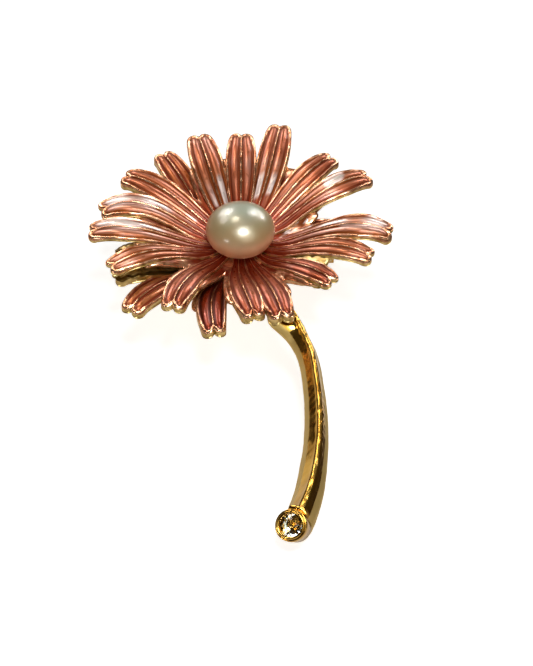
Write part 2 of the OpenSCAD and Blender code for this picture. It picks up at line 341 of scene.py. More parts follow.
def place(row, root_r, t, u):
    """Plan of points on a petal, at shares t of its length and u of its half width."""
    ahead = middle_line(row, root_r, t + TANGENT_STEP) - middle_line(row, root_r, t - TANGENT_STEP)
    ahead /= np.linalg.norm(ahead, axis=-1, keepdims=True)
    side = np.stack([-ahead[..., 1], ahead[..., 0]], -1)
    reach = LOBE_REACH * lobe(u) * np.clip(t, 0, 1) ** LOBE_POWER
    across = u * width_share(t, row.waisted) * row.width / 2
    return middle_line(row, root_r, t) + ahead * reach[..., None] + side * across[..., None]


def petal_outline(row, root_r):
    """Plan of a petal's edge, up one side, round its two lobes and down the other side."""
    t = np.linspace(OUTLINE_FROM, 1, SIDE_STEPS)
    half = -np.cos(np.linspace(0, np.pi, LOBE_STEPS))
    u = np.concatenate([(half - 1) / 2, (half[1:] + 1) / 2])
    return np.concatenate([
        place(row, root_r, t, np.full(SIDE_STEPS, -1.0)),
        place(row, root_r, np.ones(len(u)), u)[1:-1],
        place(row, root_r, t[::-1], np.ones(SIDE_STEPS)),
    ])


def bead_and_enamel(from_edge, from_middle, at_tip):
    """Heights of the gold beads and of the enamel between them, on a petal of the full width."""
    rim_r = (RIM_W + (TIP_RIM_W - RIM_W) * at_tip) / 2
    power = 2 + 2 * at_tip
    rim = rim_r * (np.clip(1 - np.abs(from_edge / rim_r - 1) ** power, 0, None) ** (1 / power) - 1)
    rim = np.where(from_edge > 2 * rim_r, -rim_r - (from_edge - 2 * rim_r) * BEAD_FALL, rim)
    ridge = RIDGE_RISE * (np.sqrt(np.clip(RIDGE_HALF_W ** 2 - from_middle ** 2, 0, None)) - RIDGE_HALF_W)
    past_ridge = from_middle - RIDGE_HALF_W
    ridge = np.where(past_ridge > 0, -RIDGE_RISE * RIDGE_HALF_W - past_ridge * BEAD_FALL, ridge)
    inside = np.minimum(from_edge - RIB_FROM_RIM, from_middle - RIB_FROM_RIDGE)
    rib = FLOOR + (RIB_TOP - FLOOR) * quarter_round(inside / RIB_ROUND)
    return np.maximum(rim, ridge), np.maximum(rib, FLOOR)


def paleness_and_sheen(row, t, u, where, seed):
    """How pale the enamel is over a petal, from 0 to 1: partly paler enamel, partly a painted sheen."""
    across = smoothstep(*PALE_ACROSS, u * math.copysign(1, row.pale))
    side = abs(row.pale) * across * smoothstep(*PALE_BEGINS, t) * smoothstep(*PALE_ENDS, t)
    near = row.near * smoothstep(*NEAR_BEGINS, t) * smoothstep(*NEAR_ENDS, t)
    clouds = np.clip(PALE_LEAST + PALE_SPREAD * waves(where, PALE_SCALE, seed), 0, 1)
    return np.maximum(side, near) * clouds


def backed(facts):
    """The same points' facts on the back, which is bare cast metal."""
    made = facts.copy()
    made[:, DEPTH], made[:, BARE], made[:, RED] = 0, 1, PLAIN_METAL
    return made


def petal_faces(columns):
    """Faces of a closed petal, and the numbers of the points round the edge of its top."""
    count, last_row = ROWS * columns, (ROWS - 1) * columns
    edge = (
        [i * columns for i in range(ROWS)]
        + [last_row + j for j in range(1, columns)]
        + [i * columns + columns - 1 for i in range(ROWS - 2, -1, -1)]
        + [j for j in range(columns - 2, 0, -1)]
    )
    loop = len(edge)
    levels = [edge]
    levels += [[2 * count + k * loop + n for n in range(loop)] for k in range(len(WALL_SHARES))]
    levels.append([count + n for n in edge])
    faces = grid_faces(ROWS, columns) + grid_faces(ROWS, columns, start=count, flip=True)
    for n in range(loop):
        m = (n + 1) % loop
        faces += [(above[n], below[n], below[m], above[m]) for above, below in zip(levels, levels[1:])]
    return [face[::-1] for face in faces], edge


def petal(pile, row, root_r, base_z, seed):
    """One petal as a closed shell: a relief on top, a rounded edge and a plain back."""
    half = 0.5 - 0.5 * np.cos(np.pi * np.arange(HALF_COLUMNS + 1) / HALF_COLUMNS)
    across = np.concatenate([half - 1, half[1:]])
    along = ROOT_T + (1 - ROOT_T) * (1 - (1 - np.linspace(0, 1, ROWS)) ** ROW_CROWDING)
    t, u = np.meshgrid(along, across, indexing="ij")
    plan = place(row, root_r, t, u).reshape(-1, 2)
    t, u = t.ravel(), u.ravel()
    where = np.column_stack([plan, u])

    scale = width_share(t, row.waisted) * row.width / 2 / FULL_HALF_W
    from_edge = distance_to_line(plan, petal_outline(row, root_r)) / scale
    bead, enamel = bead_and_enamel(from_edge, np.abs(u) * FULL_HALF_W, smoothstep(*TIP_ZONE, t))
    relief = np.maximum(bead, enamel) * np.minimum(scale, 1)
    bare = np.maximum(smoothstep(BARE_FROM, BARE_TO, bead), 1 - smoothstep(0, BARE_EDGE, from_edge))
    depth = np.clip((enamel - RIB_TOP) / (FLOOR - RIB_TOP), 0, 1)
    on_bead = np.maximum(bead / RIDGE_HALF_W + 1, 0)
    beading = np.clip(waves(where, BEADING_SCALE, seed + BEADING_SEED), -1, 1) * on_bead
    uneven = UNEVEN * waves(where, UNEVEN_SCALE, seed) + BEADING * beading
    if row.red < 0:
        relief *= PLAIN_RELIEF
        uneven += PLAIN_PEBBLE * PEBBLE * pebbles(where, PLAIN_PEBBLES, seed + PEBBLE_SEED)
        bare = np.ones_like(bare)

    under = rise(t, row.crest, row.tip) - CAMBER * u ** 2
    rounding = BACK_ROUND * (1 - quarter_round(from_edge * scale / BACK_ROUND))
    top = np.column_stack([plan, base_z + under + relief + uneven])
    back = np.column_stack([plan, base_z + under - row.wall + rounding])
    # Where the petal is pale its redness turns to the palest, partly paler enamel and partly a painted sheen
    red = row.red + (PALEST_AND_SHEEN - row.red) * paleness_and_sheen(row, t, u, where, seed + PALE_SEED)
    facts = np.column_stack([depth, bare, np.clip(t, 0, 1), red])
    back_facts = backed(facts)
    faces, edge = petal_faces(len(across))
    wall = [top[edge] * (1 - share) + back[edge] * share for share in WALL_SHARES]
    points = np.concatenate([top, back] + wall)
    facts = np.concatenate([facts, back_facts] + [back_facts[edge]] * len(WALL_SHARES))
    pile.add(points + FLOWER, faces, facts)


# Webs between the roots of the petals: pebbled metal that runs out until the gap between two petals is wide
WEB_GAP = 0.55
WEB_FROM_R, WEB_TO_R = 2.6, 12.5
# Valleys that the metal fills further: direction and half width in degrees, gap that it spans on each side,
# how far out it goes, and redness
Valley = namedtuple("Valley", "direction half_angle spanned reaches red")
UPPER_VALLEYS = [
    # The palest enamel in the web between the right-hand petals is a painted sheen
    Valley(14, 12, 0.95, 9.6, PALEST_AND_SHEEN),
    Valley(332, 9, 1.6, 11.6, PLAIN_METAL),
    Valley(196, 8, 1.1, 12.5, 0.0),
    Valley(41, 6, 0.8, 11, 0.6),
    Valley(61, 7, 0.55, 12.5, 1.0),
    Valley(118, 8, 0.55, 12.5, 1.0),
]
LOWER_VALLEYS = [Valley(212, 16, 1.6, 12.5, PLAIN_METAL), Valley(330, 12, 1.2, 9.8, PLAIN_METAL)]
WEB_DROP, WEB_UNDER_PETALS = 0.22, 0.45
WEB_WALL = 0.7
# Gaps at which the web sinks under a petal and its pebbles begin, and their distance from the hub
UNDER_PETAL, CLEAR_OF_PETAL = (0.05, -0.25), (-0.3, 0.1)
PEBBLES_BEGIN = (3.8, 5.2)
WEB_PEBBLES = [(1, 4.5), (0.6, 8)]
# Depth of a web halfway up its pebbles, and how far it swings
WEB_DEPTH, WEB_DEPTH_SWING = 0.5, 0.6
# The last part of the web thins to its edge, from above and from below
WEB_EDGE = (0.8, 1)
WEB_EDGE_DROP, WEB_EDGE_LIFT = 0.25, 0.1
# Places where the enamel is worn off, and the redness where it gives way to plain metal
WORN_SHARE, WORN, WORN_SCALE = 0.8, (0.3, 0.8), 2.6
ENAMEL_ENDS = (-0.3, -0.8)
# Distance from the roots that counts as a tip
WEB_REACH = 12
VALLEY_CORE, VALLEY_BEGINS = 0.6, (0.2, 0.4)
WEB_DIRECTIONS, WEB_STEPS, WEB_SEARCHES = 320, 26, 40
LINE_FROM, LINE_STEPS = -0.3, 66
# A web's height is that of the petals around, which count for less the further off they are
OWN_WEIGHT = 0.08


def around(petals, root_r, x, y):
    """Gap from each place to the nearest petal, and the height that the petals around give."""
    plan = np.stack([x.ravel(), y.ravel()], -1)
    gap, total, weights = np.full(len(plan), np.inf), np.zeros(len(plan)), np.zeros(len(plan))
    t = np.linspace(LINE_FROM, 1, LINE_STEPS)
    for row in petals:
        off = np.linalg.norm(plan[:, None] - middle_line(row, root_r, t)[None], axis=2)
        at = t[off.argmin(1)]
        own = off.min(1) - width_share(at, row.waisted) * row.width / 2
        weight = 1 / (OWN_WEIGHT + np.maximum(own, 0)) ** 2
        total += weight * rise(np.clip(at, 0, 1), row.crest, row.tip)
        weights += weight
        gap = np.minimum(gap, own)
    return gap, total / weights


def web_shape(petals, root_r, red, valleys, angle, share):
    """How far out the web goes in each direction, and the redness of its points."""
    radii = np.linspace(root_r + 1, WEB_TO_R, WEB_SEARCHES)
    gap, _ = around(petals, root_r, radii[:, None] * np.cos(angle), radii[:, None] * np.sin(angle))
    limit, furthest = np.full(WEB_DIRECTIONS, WEB_GAP), np.full(WEB_DIRECTIONS, float(WEB_TO_R))
    tone = np.full((WEB_STEPS, WEB_DIRECTIONS), float(red))
    for valley in valleys:
        half = valley.half_angle
        off = np.abs((np.degrees(angle) - valley.direction + 180) % 360 - 180)
        limit = np.where(off < half, valley.spanned, limit)
        furthest = np.where(off < half, valley.reaches, furthest)
        inside = smoothstep(half, half * VALLEY_CORE, off) * smoothstep(*VALLEY_BEGINS, share)
        tone += (valley.red - tone) * inside
    open_air = gap.reshape(WEB_SEARCHES, WEB_DIRECTIONS) > limit
    outer = np.minimum(np.where(open_air.any(0), radii[open_air.argmax(0)], WEB_TO_R), furthest)
    # The mean over five neighbouring directions
    return np.mean([np.roll(outer, n) for n in range(-2, 3)], 0), tone.ravel()


def web(pile, petals, root_r, base_z, red, seed, valleys):
    """The webs of one tier as a closed shell, from under the pearl outwards."""
    angle = np.linspace(0, 2 * np.pi, WEB_DIRECTIONS, endpoint=False)
    share = np.linspace(0, 1, WEB_STEPS)[:, None]
    outer, tone = web_shape(petals, root_r, red, valleys, angle, share)
    radius = WEB_FROM_R + (outer - WEB_FROM_R) * share
    x, y = radius * np.cos(angle), radius * np.sin(angle)
    radius, x, y = radius.ravel(), x.ravel(), y.ravel()

    gap, height = around(petals, root_r, x, y)
    height = base_z + height - CAMBER - WEB_DROP - WEB_UNDER_PETALS * smoothstep(*UNDER_PETAL, gap)
    plan = np.stack([x, y, np.zeros_like(x)], -1)
    bumps = pebbles(plan, WEB_PEBBLES, seed)
    pebbled = smoothstep(*PEBBLES_BEGIN, radius) * smoothstep(*CLEAR_OF_PETAL, gap)
    edge = smoothstep(*WEB_EDGE, np.repeat(share.ravel(), WEB_DIRECTIONS))
    top = np.column_stack([x, y, height + PEBBLE * bumps * pebbled - WEB_EDGE_DROP * edge ** 2])
    low = np.column_stack([x, y, height - WEB_WALL + WEB_EDGE_LIFT * edge])

    depth = np.clip(WEB_DEPTH - WEB_DEPTH_SWING * bumps, 0, 1)
    bare = np.maximum(WORN_SHARE * smoothstep(*WORN, waves(plan, WORN_SCALE, seed + 2)), edge)
    bare = np.maximum(bare, smoothstep(*ENAMEL_ENDS, tone))
    reach = np.clip((radius - root_r) / WEB_REACH, 0, 1)
    facts = np.column_stack([depth, bare, reach, tone])

    count, last_ring = len(top), (WEB_STEPS - 1) * WEB_DIRECTIONS
    faces = grid_faces(WEB_STEPS, WEB_DIRECTIONS, wrap=True, flip=True)
    faces += grid_faces(WEB_STEPS, WEB_DIRECTIONS, start=count, wrap=True)
    for j in range(WEB_DIRECTIONS):
        n = (j + 1) % WEB_DIRECTIONS
        out, out_n = last_ring + j, last_ring + n
        faces.append((j, n, count + n, count + j))
        faces.append((out_n, out, count + out, count + out_n))
    pile.add(np.concatenate([top, low]) + FLOWER, faces, np.concatenate([facts, backed(facts)]))


# Materials


def srgb(r, g, b):
    """A colour given as 0 to 255 on screen, as Blender's linear values."""
    shares = (r / 255, g / 255, b / 255)
    return tuple(c / 12.92 if c <= 0.04045 else ((c + 0.055) / 1.055) ** 2.4 for c in shares) + (1.0,)


def grey(value):
    return (value, value, value, 1)


class Nodes:
    """The nodes of one material or of the world, with a short method for each kind that the looks use."""

    def __init__(self, tree):
        self.tree = tree

    def add(self, kind, settings=None, **values):
        made = self.tree.nodes.new(kind)
        for key, value in (settings or {}).items():
            setattr(made, key, value)
        self.fill(made, **values)
        return made

    def put(self, value, socket):
        """A number or a colour goes on the socket, and what another node works out is linked to it."""
        if isinstance(value, (tuple, float, int)):
            socket.default_value = value
        else:
            self.tree.links.new(value, socket)

    def fill(self, made, **values):
        """What goes on a node's own sockets. A space in a socket's name is an underscore here."""
        for key, value in values.items():
            self.put(value, made.inputs[key.replace("_", " ")])

    def sums(self, operation, first, second=0):
        made = self.add("ShaderNodeMath", {"operation": operation})
        self.put(first, made.inputs[0])
        self.put(second, made.inputs[1])
        return made.outputs["Value"]

    times = partialmethod(sums, "MULTIPLY")
    plus = partialmethod(sums, "ADD")
    minus = partialmethod(sums, "SUBTRACT")
    larger = partialmethod(sums, "MAXIMUM")

    def ease(self, source, low, high):
        """From 0 at low to 1 at high, smoothly. High may be the lower number."""
        smooth = {"interpolation_type": "SMOOTHSTEP"}
        made = self.add("ShaderNodeMapRange", smooth, Value=source, From_Min=low, From_Max=high)
        return made.outputs["Result"]

    def ramp(self, source, places, colours):
        """Colours at places from 0 to 1, blended in between."""
        made = self.add("ShaderNodeValToRGB", Fac=source)
        elements = made.color_ramp.elements
        while len(elements) < len(places):
            elements.new(0.5)
        for element, at, colour in zip(elements, places, colours):
            element.position = at
            element.color = colour
        return made.outputs["Color"]

    def blend(self, share, first, second):
        made = self.add("ShaderNodeMix", {"data_type": "RGBA"})
        inputs = {socket.identifier: socket for socket in made.inputs}
        for key, value in (("Factor_Float", share), ("A_Color", first), ("B_Color", second)):
            self.put(value, inputs[key])
        return next(socket for socket in made.outputs if socket.identifier == "Result_Color")

    def noise(self, scale, detail):
        here = self.add("ShaderNodeTexCoord").outputs["Object"]
        return self.add("ShaderNodeTexNoise", Vector=here, Scale=scale, Detail=detail).outputs["Fac"]

    def facts(self):
        """The four facts that the points carry."""
        made = self.add("ShaderNodeAttribute", {"attribute_name": "facts"})
        split = self.add("ShaderNodeSeparateColor", Color=made.outputs["Color"])
        return split.outputs["Red"], split.outputs["Green"], split.outputs["Blue"], made.outputs["Alpha"]

    def bump(self, shader, height, strength, distance):
        made = self.add("ShaderNodeBump", Height=height, Strength=strength, Distance=distance)
        self.fill(shader, Normal=made.outputs["Normal"])


def new_material(name):
    material = bpy.data.materials.new(name)
    material.use_nodes = True
    return material, Nodes(material.node_tree), material.node_tree.nodes["Principled BSDF"]


# Colours of an enamel where it is rose and where it is red, on the ribs and in the grooves, its colour near
# the pearl, and how much of it lies thin
Enamel = namedtuple("Enamel", "crest_rose crest_red floor_rose floor_red heart patchy")
ROSE = Enamel(
    crest_rose=srgb(202, 118, 82), crest_red=srgb(184, 82, 48),
    floor_rose=srgb(110, 46, 2), floor_red=srgb(92, 20, 0), heart=srgb(122, 28, 0), patchy=0.3,
)
MAROON = Enamel(
    crest_rose=srgb(196, 110, 60), crest_red=srgb(164, 52, 22),
    floor_rose=srgb(112, 36, 4), floor_red=srgb(74, 8, 0), heart=srgb(116, 28, 8), patchy=0.04,
)
# Colour of pale enamel, which is also the colour of the painted sheen
PALE_ENAMEL_AND_SHEEN = srgb(248, 228, 222)
# Two tones of a metal, the deeper one first
RIM_TONES = (srgb(174, 102, 66), srgb(238, 184, 146))
WALL_TONES = (srgb(156, 124, 62), srgb(214, 182, 120))
CREVICE = srgb(98, 72, 26)
RIM_METAL, WALL_METAL = 0.78, 0.6
ENAMEL_SHINE, GROOVE_SHINE = 0.3, 0.3
RIM_ROUGH, CAST_ROUGH, GROOVE_ROUGH = 0.2, 0.34, 0.5
ENAMEL_ROUGHS = (grey(0.22), grey(0.34))
# Depth at which a groove's colour sets in, and at which a pit in the cast metal darkens
GROOVES, PITS = (0.02, 0.6), (0.3, 0.8)
LEAST_DEEP = 0.6
# Shares of the way to the tip at which thin and filled enamel set in, and at which the heart's colour ends
THIN_REACH, FILLED_REACH, HEART_REACH = (0.3, 0.7), (0.5, 0.7), (0.5, 0.08)
THIN_PATCHES = (0.5, 0.68)
FILLED_SHARE, HEART_SHARE = 0.55, 0.92
# Redness at which the rims' gold gives way to the walls'
ON_WALL = (-0.35, -0.8)
# Values of the noise at which two tones of metal, and two roughnesses, are reached
TONES_AT, ROUGHS_AT = (0.35, 0.62), (0.3, 0.7)


def enamel_colour(nodes, colours, deep, reach, red):
    crest = nodes.blend(red, colours.crest_rose, colours.crest_red)
    floor = nodes.blend(red, colours.floor_rose, colours.floor_red)
    # Patches where the enamel lies thinner
    thin = nodes.times(nodes.ease(nodes.noise(scale=190, detail=1), *THIN_PATCHES), colours.patchy)
    # Paleness comes from the redness, where it is partly a painted sheen, and from thin patches of enamel
    pale = nodes.larger(nodes.ease(red, 0, PALEST_AND_SHEEN), nodes.times(thin, nodes.ease(reach, *THIN_REACH)))
    crest = nodes.blend(pale, crest, PALE_ENAMEL_AND_SHEEN)
    # Pale enamel and painted sheen fill the grooves too, except near the pearl
    filled = nodes.times(nodes.times(pale, FILLED_SHARE), nodes.ease(reach, *FILLED_REACH))
    enamel = nodes.blend(nodes.times(deep, nodes.minus(1, filled)), crest, floor)
    in_heart = nodes.times(nodes.ease(reach, *HEART_REACH), nodes.minus(HEART_SHARE, pale))
    return nodes.blend(in_heart, enamel, colours.heart)


def gold_colour(nodes, depth, on_wall):
    """Rose gold on rims and ridges, yellower cast metal on walls and backs."""
    grain = nodes.noise(scale=1100, detail=2)
    rim = nodes.ramp(grain, TONES_AT, RIM_TONES)
    wall = nodes.ramp(grain, TONES_AT, WALL_TONES)
    wall = nodes.blend(nodes.ease(depth, *PITS), wall, CREVICE)
    return nodes.blend(on_wall, rim, wall)


def enamelled(name, colours):
    """Enamel over relief, paler on the ribs, deeper in the grooves, and bare gold where the facts say so."""
    material, nodes, shader = new_material(name)
    depth, bare, reach, red = nodes.facts()
    deep = nodes.times(nodes.ease(depth, *GROOVES), nodes.plus(nodes.noise(scale=420, detail=3), LEAST_DEEP))
    on_wall = nodes.ease(red, *ON_WALL)
    enamel = enamel_colour(nodes, colours, deep, reach, red)
    colour = nodes.blend(bare, enamel, gold_colour(nodes, depth, on_wall))
    # The metal under the enamel shines through more in the grooves
    shine = nodes.plus(nodes.times(deep, GROOVE_SHINE), ENAMEL_SHINE)
    bright = nodes.minus(RIM_METAL, nodes.times(on_wall, RIM_METAL - WALL_METAL))
    metal = nodes.larger(nodes.times(bare, bright), shine)
    rough = nodes.ramp(nodes.noise(scale=700, detail=2), ROUGHS_AT, ENAMEL_ROUGHS)
    rough = nodes.blend(deep, rough, grey(GROOVE_ROUGH))
    bare_rough = nodes.blend(on_wall, grey(RIM_ROUGH), grey(CAST_ROUGH))
    nodes.fill(shader, Base_Color=colour, Metallic=metal, Roughness=nodes.blend(bare, rough, bare_rough))
    nodes.fill(shader, IOR=1.42, Specular_Tint=(1.0, 0.8, 0.6, 1))
    nodes.fill(shader, Coat_Weight=0.12, Coat_Roughness=0.08, Coat_IOR=1.5)
    nodes.bump(shader, nodes.noise(scale=1500, detail=2), strength=0.3, distance=0.00006)
    return material


STEM_TONES = (srgb(166, 118, 38), srgb(222, 176, 88))
PIN_TONES = (srgb(186, 138, 70), srgb(216, 172, 104))
FOIL_SILVER = srgb(226, 230, 222)
SIDE_WALL = srgb(204, 170, 100)
SIDE_WALL_ROUGH, SIDE_WALL_MATT = 0.45, 0.5
RIDGE_ROUGH = 0.23


def gold(name, tones, roughs, bump_scale, bump_depth):
    """Polished gold of two tones. Its colour and roughness are handed on for what goes over them."""
    material, nodes, shader = new_material(name)
    colour = nodes.ramp(nodes.noise(scale=260, detail=4), TONES_AT, tones)
    rough = nodes.ramp(nodes.noise(scale=900, detail=3), ROUGHS_AT, [grey(value) for value in roughs])
    nodes.fill(shader, Base_Color=colour, Metallic=1, Roughness=rough)
    nodes.bump(shader, nodes.noise(bump_scale, detail=2), strength=0.4, distance=bump_depth)
    return material, nodes, shader, colour, rough


def stem_material():
    """Gold with matter side walls, a softer ridge, and silver foil under the stone."""
    material, nodes, shader, colour, rough = gold(
        "stem_gold", STEM_TONES, roughs=(0.08, 0.18), bump_scale=900, bump_depth=0.00007
    )
    foil, wall, ridge, _ = nodes.facts()
    colour = nodes.blend(foil, nodes.blend(wall, colour, SIDE_WALL), FOIL_SILVER)
    rough = nodes.blend(ridge, nodes.blend(wall, rough, grey(SIDE_WALL_ROUGH)), grey(RIDGE_ROUGH))
    metal = nodes.minus(1, nodes.times(wall, SIDE_WALL_MATT))
    nodes.fill(shader, Base_Color=colour, Metallic=metal, Roughness=rough)
    return material


# Colours of the pearl from its girdle up, and the tones that cloud it. The warm girdle is partly its own rosy
# overtone and partly a painted reflection of the petals; the pale top is a painted reflection of the window
PEARL_HEIGHTS = (0, 0.3, 0.7, 1)
PEARL_COLOURS_AND_REFLECTIONS = (srgb(242, 192, 148), srgb(216, 174, 118), srgb(202, 184, 132), srgb(206, 208, 182))
PEARL_CLOUDS_AT = (0.35, 0.65)
PEARL_CLOUDS = (srgb(176, 184, 154), srgb(216, 170, 132))
PEARL_CLOUDED = 0.3


def pearl_material():
    material, nodes, shader = new_material("pearl_nacre")
    risen = nodes.facts()[0]
    # Painted reflections by height: the window's pale at the top and back, the petals' warmth at the girdle
    body = nodes.ramp(risen, PEARL_HEIGHTS, PEARL_COLOURS_AND_REFLECTIONS)
    cloud = nodes.ramp(nodes.noise(scale=220, detail=2), PEARL_CLOUDS_AT, PEARL_CLOUDS)
    nodes.fill(shader, Base_Color=nodes.blend(PEARL_CLOUDED, body, cloud), Metallic=0.08, Roughness=0.34)
    nodes.fill(shader, Coat_Weight=0.55, Coat_Roughness=0.2, Coat_IOR=1.65)
    nodes.fill(shader, Sheen_Weight=0.12, Sheen_Tint=srgb(255, 206, 180))
    nodes.bump(shader, nodes.noise(scale=1200, detail=2), strength=0.08, distance=0.00003)
    return material


CRYSTAL_TINTS_AT = (0.3, 0.7)
CRYSTAL_TINTS = (srgb(250, 248, 240), srgb(235, 240, 250))


def crystal_material():
    material, nodes, shader = new_material("cut_crystal")
    tint = nodes.ramp(nodes.noise(scale=500, detail=1), CRYSTAL_TINTS_AT, CRYSTAL_TINTS)
    nodes.fill(shader, Base_Color=tint, Transmission_Weight=1, Roughness=0, IOR=1.56)
    return material


# The flower


def tier(petals, valleys, root_r, base_z, web_red, seed, web_seed):
    made = Pile()
    for number, row in enumerate(petals):
        petal(made, row, root_r, base_z, seed + number)
    web(made, petals, root_r, base_z, web_red, web_seed, valleys)
    return made


upper = tier(UPPER_PETALS, UPPER_VALLEYS, UPPER_ROOT_R, 0, web_red=0.3, seed=10, web_seed=40)
disc(upper, HUB_R, HUB_BOTTOM, HUB_TOP)
flower_upper = upper.build("petals_upper", enamelled("rose_enamel", ROSE))
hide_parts("flower_upper")

lower = tier(LOWER_PETALS, LOWER_VALLEYS, LOWER_ROOT_R, PLATE_TOP, web_red=0.8, seed=60, web_seed=90)
disc(lower, PLATE_R, PLATE_TOP - PLATE_WALL, PLATE_TOP)
flower_lower = lower.build("petals_lower", enamelled("maroon_enamel", MAROON))
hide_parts("flower_lower")

# The pearl: a flat back and an ellipse above it, very slightly uneven
PEARL_R = 4
PEARL_HALF_H = PEARL_R * 0.68
PEARL_WAIST = 1.9
PEARL_RINGS = 56
PEARL_RIPPLES = [(0.003, 0.7, 5)]
# Heights over its seat between which it begins to be uneven
PEARL_EVEN = (0.2, 1)
# How much the back of the pearl is paler than its front, part of the painted reflection of the window
PALER_BEHIND = 0.25


def pearl_shape():
    """The pearl, and its only fact: warm at the girdle, paler towards the top and the back, for painted
    reflections.
    """
    made = Pile()
    lowest = math.asin(-PEARL_WAIST / PEARL_HALF_H)
    angles = np.linspace(math.pi / 2, lowest, PEARL_RINGS)
    profile = [(PEARL_R * math.cos(a), PEARL_HALF_H * math.sin(a)) for a in angles]
    profile[0] = (0, PEARL_HALF_H)
    profile.append((0, -PEARL_WAIST))
    revolve(made, profile, FLOWER + [0, 0, PEARL_WAIST + SEAT_GAP], segments=128)
    points = made.points[0]
    middle = FLOWER + [0, 0, PEARL_WAIST]
    off = points - middle
    swelling = ripples(points, PEARL_RIPPLES) * smoothstep(*PEARL_EVEN, points[:, 2] - FLOWER[2])
    made.points[0] = points + off * swelling[:, None]
    made.facts[0][:, 0] = np.clip(off[:, 2] / PEARL_HALF_H + PALER_BEHIND * off[:, 1] / PEARL_R, 0, 1)
    return made


pearl = pearl_shape().build("pearl_button", pearl_material())
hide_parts("pearl")

# The stem: sections from under the flower to the cup, as x, y from the flower's centre, width, top, bottom,
# and what is added on its left and on its right: solder under the petals and a broader wall beside the cup
STEM = np.array([
    [1.92, -4.45, 1.3, 5.25, 4.72, 0, 0],
    [2.6, -6, 1.5, 6.05, 4.95, 0, 0],
    [4.1, -9.3, 1.8, 7.3, 5.6, 0.6, 0],
    [5.3, -12.2, 2.1, 7.75, 5.7, 1.5, 0],
    [6.15, -14, 2.3, 7.55, 5.5, 1.9, 0],
    [6.8, -15.7, 2.3, 7.35, 5.2, 0.3, 0],
    [7.75, -18.5, 2.3, 7.05, 4.85, 0.03, 0],
    [8.3, -22.7, 2.35, 6.6, 4.35, 0.05, 0],
    [8.5, -26, 2.45, 6.1, 3.8, 0.1, 0.05],
    [8.45, -29.2, 2.6, 5.65, 3.2, 0.1, 0.05],
    [8.2, -31.8, 2.8, 5.3, 2.6, 0.1, 0.05],
    [7.8, -34.2, 3, 4.9, 1.95, 0.05, 0.1],
    [7.35, -36, 3.1, 4.6, 1.35, 0, 0.15],
    [6.7, -37.8, 3.15, 4.25, 0.8, 0, 0.25],
    [6.1, -39.2, 3.1, 3.85, 0.35, 0, 0.25],
    [5.7, -40.1, 2.9, 3, 0.3, 0, 0],
])
# One section, seen from the cup, as shares of the half width and of the height
STEM_SECTION = np.array([
    [-0.84, 0], [-1, 0.12], [-0.98, 0.26], [-0.64, 0.52], [-0.08, 0.86], [0.03, 0.95], [0.18, 1],
    [0.38, 0.995], [0.5, 0.94], [0.58, 0.83], [0.72, 0.6], [0.95, 0.34], [1, 0.14], [0.84, 0],
])
# The section's slopes begin where its side walls end, which is higher on the right
SLOPE_FROM, WALL_TO = 0.57, 0.5
HIGHER_ON_RIGHT = 0.09
RIDGE_FROM = 0.88
STEM_STEPS = 20
CORNER_SHARE = 0.26
CORNER_STEPS = 4
# Height, fineness and seed of the ripples everywhere and along the ridge
RIPPLES = [(0.018, 2.4, 3), (0.012, 6.5, 4)]
RIDGE_RIPPLES = [(0.02, 5, 6), (0.014, 11, 7)]
# Small dents on the right slope, and the y from the flower's centre where they begin and end
DENTS = [(0.045, 7, 9)]
DENTS_RIGHT_OF = 0.5
DENTS_BEGIN, DENTS_END = (-20.5, -22.5), (-29, -27)


def curve(rows, steps):
    """Points on a smooth curve through the rows."""
    made = []
    last = len(rows) - 1
    for i in range(last):
        a, b, c, d = rows[max(i - 1, 0)], rows[i], rows[i + 1], rows[min(i + 2, last)]
        squared, cubed = 2 * a - 5 * b + 4 * c - d, 3 * b - a - 3 * c + d
        for n in range(steps):
            t = n / steps
            made.append(0.5 * (2 * b + (c - a) * t + squared * t ** 2 + cubed * t ** 3))
    made.append(rows[last])
    return np.array(made)


def rounded_outline(corners):
    """A closed outline whose corners are short curves."""
    made = []
    for i, corner in enumerate(corners):
        before, after = corners[i - 1], corners[(i + 1) % len(corners)]
        start, end = corner + (before - corner) * CORNER_SHARE, corner + (after - corner) * CORNER_SHARE
        for n in range(CORNER_STEPS + 1):
            t = n / CORNER_STEPS
            made.append((1 - t) ** 2 * start + 2 * t * (1 - t) * corner + t ** 2 * end)
    return np.array(made)


